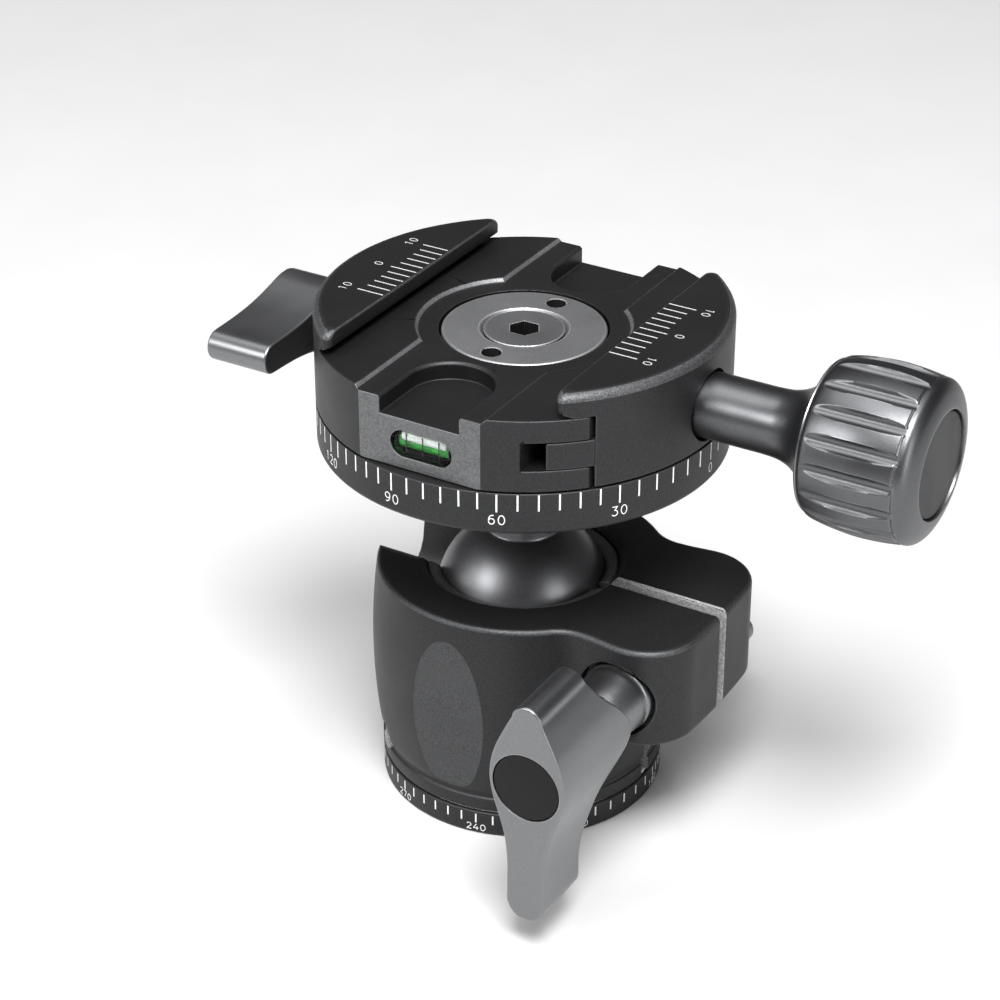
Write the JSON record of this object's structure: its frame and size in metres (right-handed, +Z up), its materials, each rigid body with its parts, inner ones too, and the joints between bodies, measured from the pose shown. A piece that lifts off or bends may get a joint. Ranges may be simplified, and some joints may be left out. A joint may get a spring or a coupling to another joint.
{
  "type": "tripod ball head",
  "caption": "Tripod ball head with a panning base, clamping lever, drop notch, degree ring, bubble level and a dovetail quick-release plate clamp worked by a fluted knob.",
  "frame": {"origin": "centre of the base's bottom face", "axes": "+Z up along the base's panning axis, +X towards the clamp knob and the clamping lug, +Y along the dovetail groove"},
  "size_m": [0.1057, 0.0793, 0.0817],
  "materials": {
    "black_anodised": "fine sandblasted black anodising",
    "machined_grey": "light machined surface",
    "gunmetal": "satin gunmetal coating",
    "ball_chrome": "satin dark chrome",
    "steel": "turned steel",
    "dark_steel": "blackened steel",
    "spring_steel": "spring steel",
    "spindle_grey": "bead blasted grey",
    "white_polymer": "low friction polymer",
    "black_polymer": "matt black polymer",
    "brass": "turned brass",
    "vial_clear": "clear acrylic",
    "level_green": "green fluid"
  },
  "bodies": {
    "base": {"base_plate": "black_anodised", "thread_insert": "steel", "base_glide_washer": "white_polymer"},
    "housing": {"ball_housing": "black_anodised", "socket_plug": "dark_steel", "seat_spring": "spring_steel", "seat_block": "machined_grey", "upper_liner": "machined_grey", "bolt_nut": "steel", "pan_set_screws": "dark_steel", "base_brake_pad": "brass"},
    "seat_cup": {"ball_cup": "white_polymer"},
    "ball": {"ball": "ball_chrome", "pan_ring": "black_anodised", "pan_spindle": "spindle_grey", "centre_screw": "dark_steel", "lower_pan_washer": "white_polymer"},
    "clamp": {"clamp_body": "black_anodised", "upper_pan_washer": "white_polymer", "level_vial": "vial_clear", "level_fluid": "level_green", "head_brake_pad": "brass"},
    "jaw": {"movable_jaw": "black_anodised", "guide_pins": "steel", "jaw_spring": "spring_steel", "knob_washer": "steel"},
    "knob": {"clamp_knob": "gunmetal", "clamp_screw": "steel", "knob_insert": "black_polymer"},
    "main_lever": {"main_lever": "gunmetal", "main_bolt": "steel", "lever_collar": "gunmetal", "lever_screw": "dark_steel", "lever_cap": "black_polymer"},
    "head_lock": {"head_lever": "gunmetal", "head_lock_screw": "steel", "head_lever_cap": "black_polymer"},
    "base_lock": {"base_lever": "gunmetal", "base_lock_screw": "steel", "base_lever_cap": "black_polymer"}
  },
  "joints": [
    {"name": "base_pan", "type": "hinge", "parent": "base", "child": "housing", "pos_m": [0, 0, 0], "axis": [0, 0, 1], "continuous": true},
    {"name": "tilt_x", "type": "hinge", "parent": "housing", "child": "seat_cup", "pos_m": [0, 0, 0.03], "axis": [1, 0, 0], "range_deg": [-25, 25]},
    {"name": "tilt_y", "type": "hinge", "parent": "seat_cup", "child": "ball", "pos_m": [0, 0, 0.03], "axis": [0, 1, 0], "range_deg": [-90, 25]},
    {"name": "head_pan", "type": "hinge", "parent": "ball", "child": "clamp", "pos_m": [0, 0, 0.06365], "axis": [0, 0, 1], "continuous": true},
    {"name": "jaw_slide", "type": "slide", "parent": "clamp", "child": "jaw", "axis": [1, 0, 0], "range_m": [-0.00035, 0.004]},
    {"name": "knob_turn", "type": "hinge", "parent": "jaw", "child": "knob", "pos_m": [0.048, 0, 0.0695], "axis": [1, 0, 0], "range_deg": [-127, 1441]},
    {"name": "main_lever_turn", "type": "hinge", "parent": "housing", "child": "main_lever", "pos_m": [0.0241, -0.0159, 0.0276], "axis": [0, 1, 0], "range_deg": [-40, 90]},
    {"name": "head_lock_turn", "type": "hinge", "parent": "clamp", "child": "head_lock", "pos_m": [-0.031, 0, 0.0683], "axis": [1, 0, 0], "range_deg": [-60, 60]},
    {"name": "base_lock_turn", "type": "hinge", "parent": "housing", "child": "base_lock", "pos_m": [0, 0.024, 0.0084], "axis": [0, -1, 0], "range_deg": [0, 150]}
  ],
  "couplings": [
    {"joint": "knob_turn", "follows": "jaw_slide", "rad_per_m": 6283.2}
  ]
}
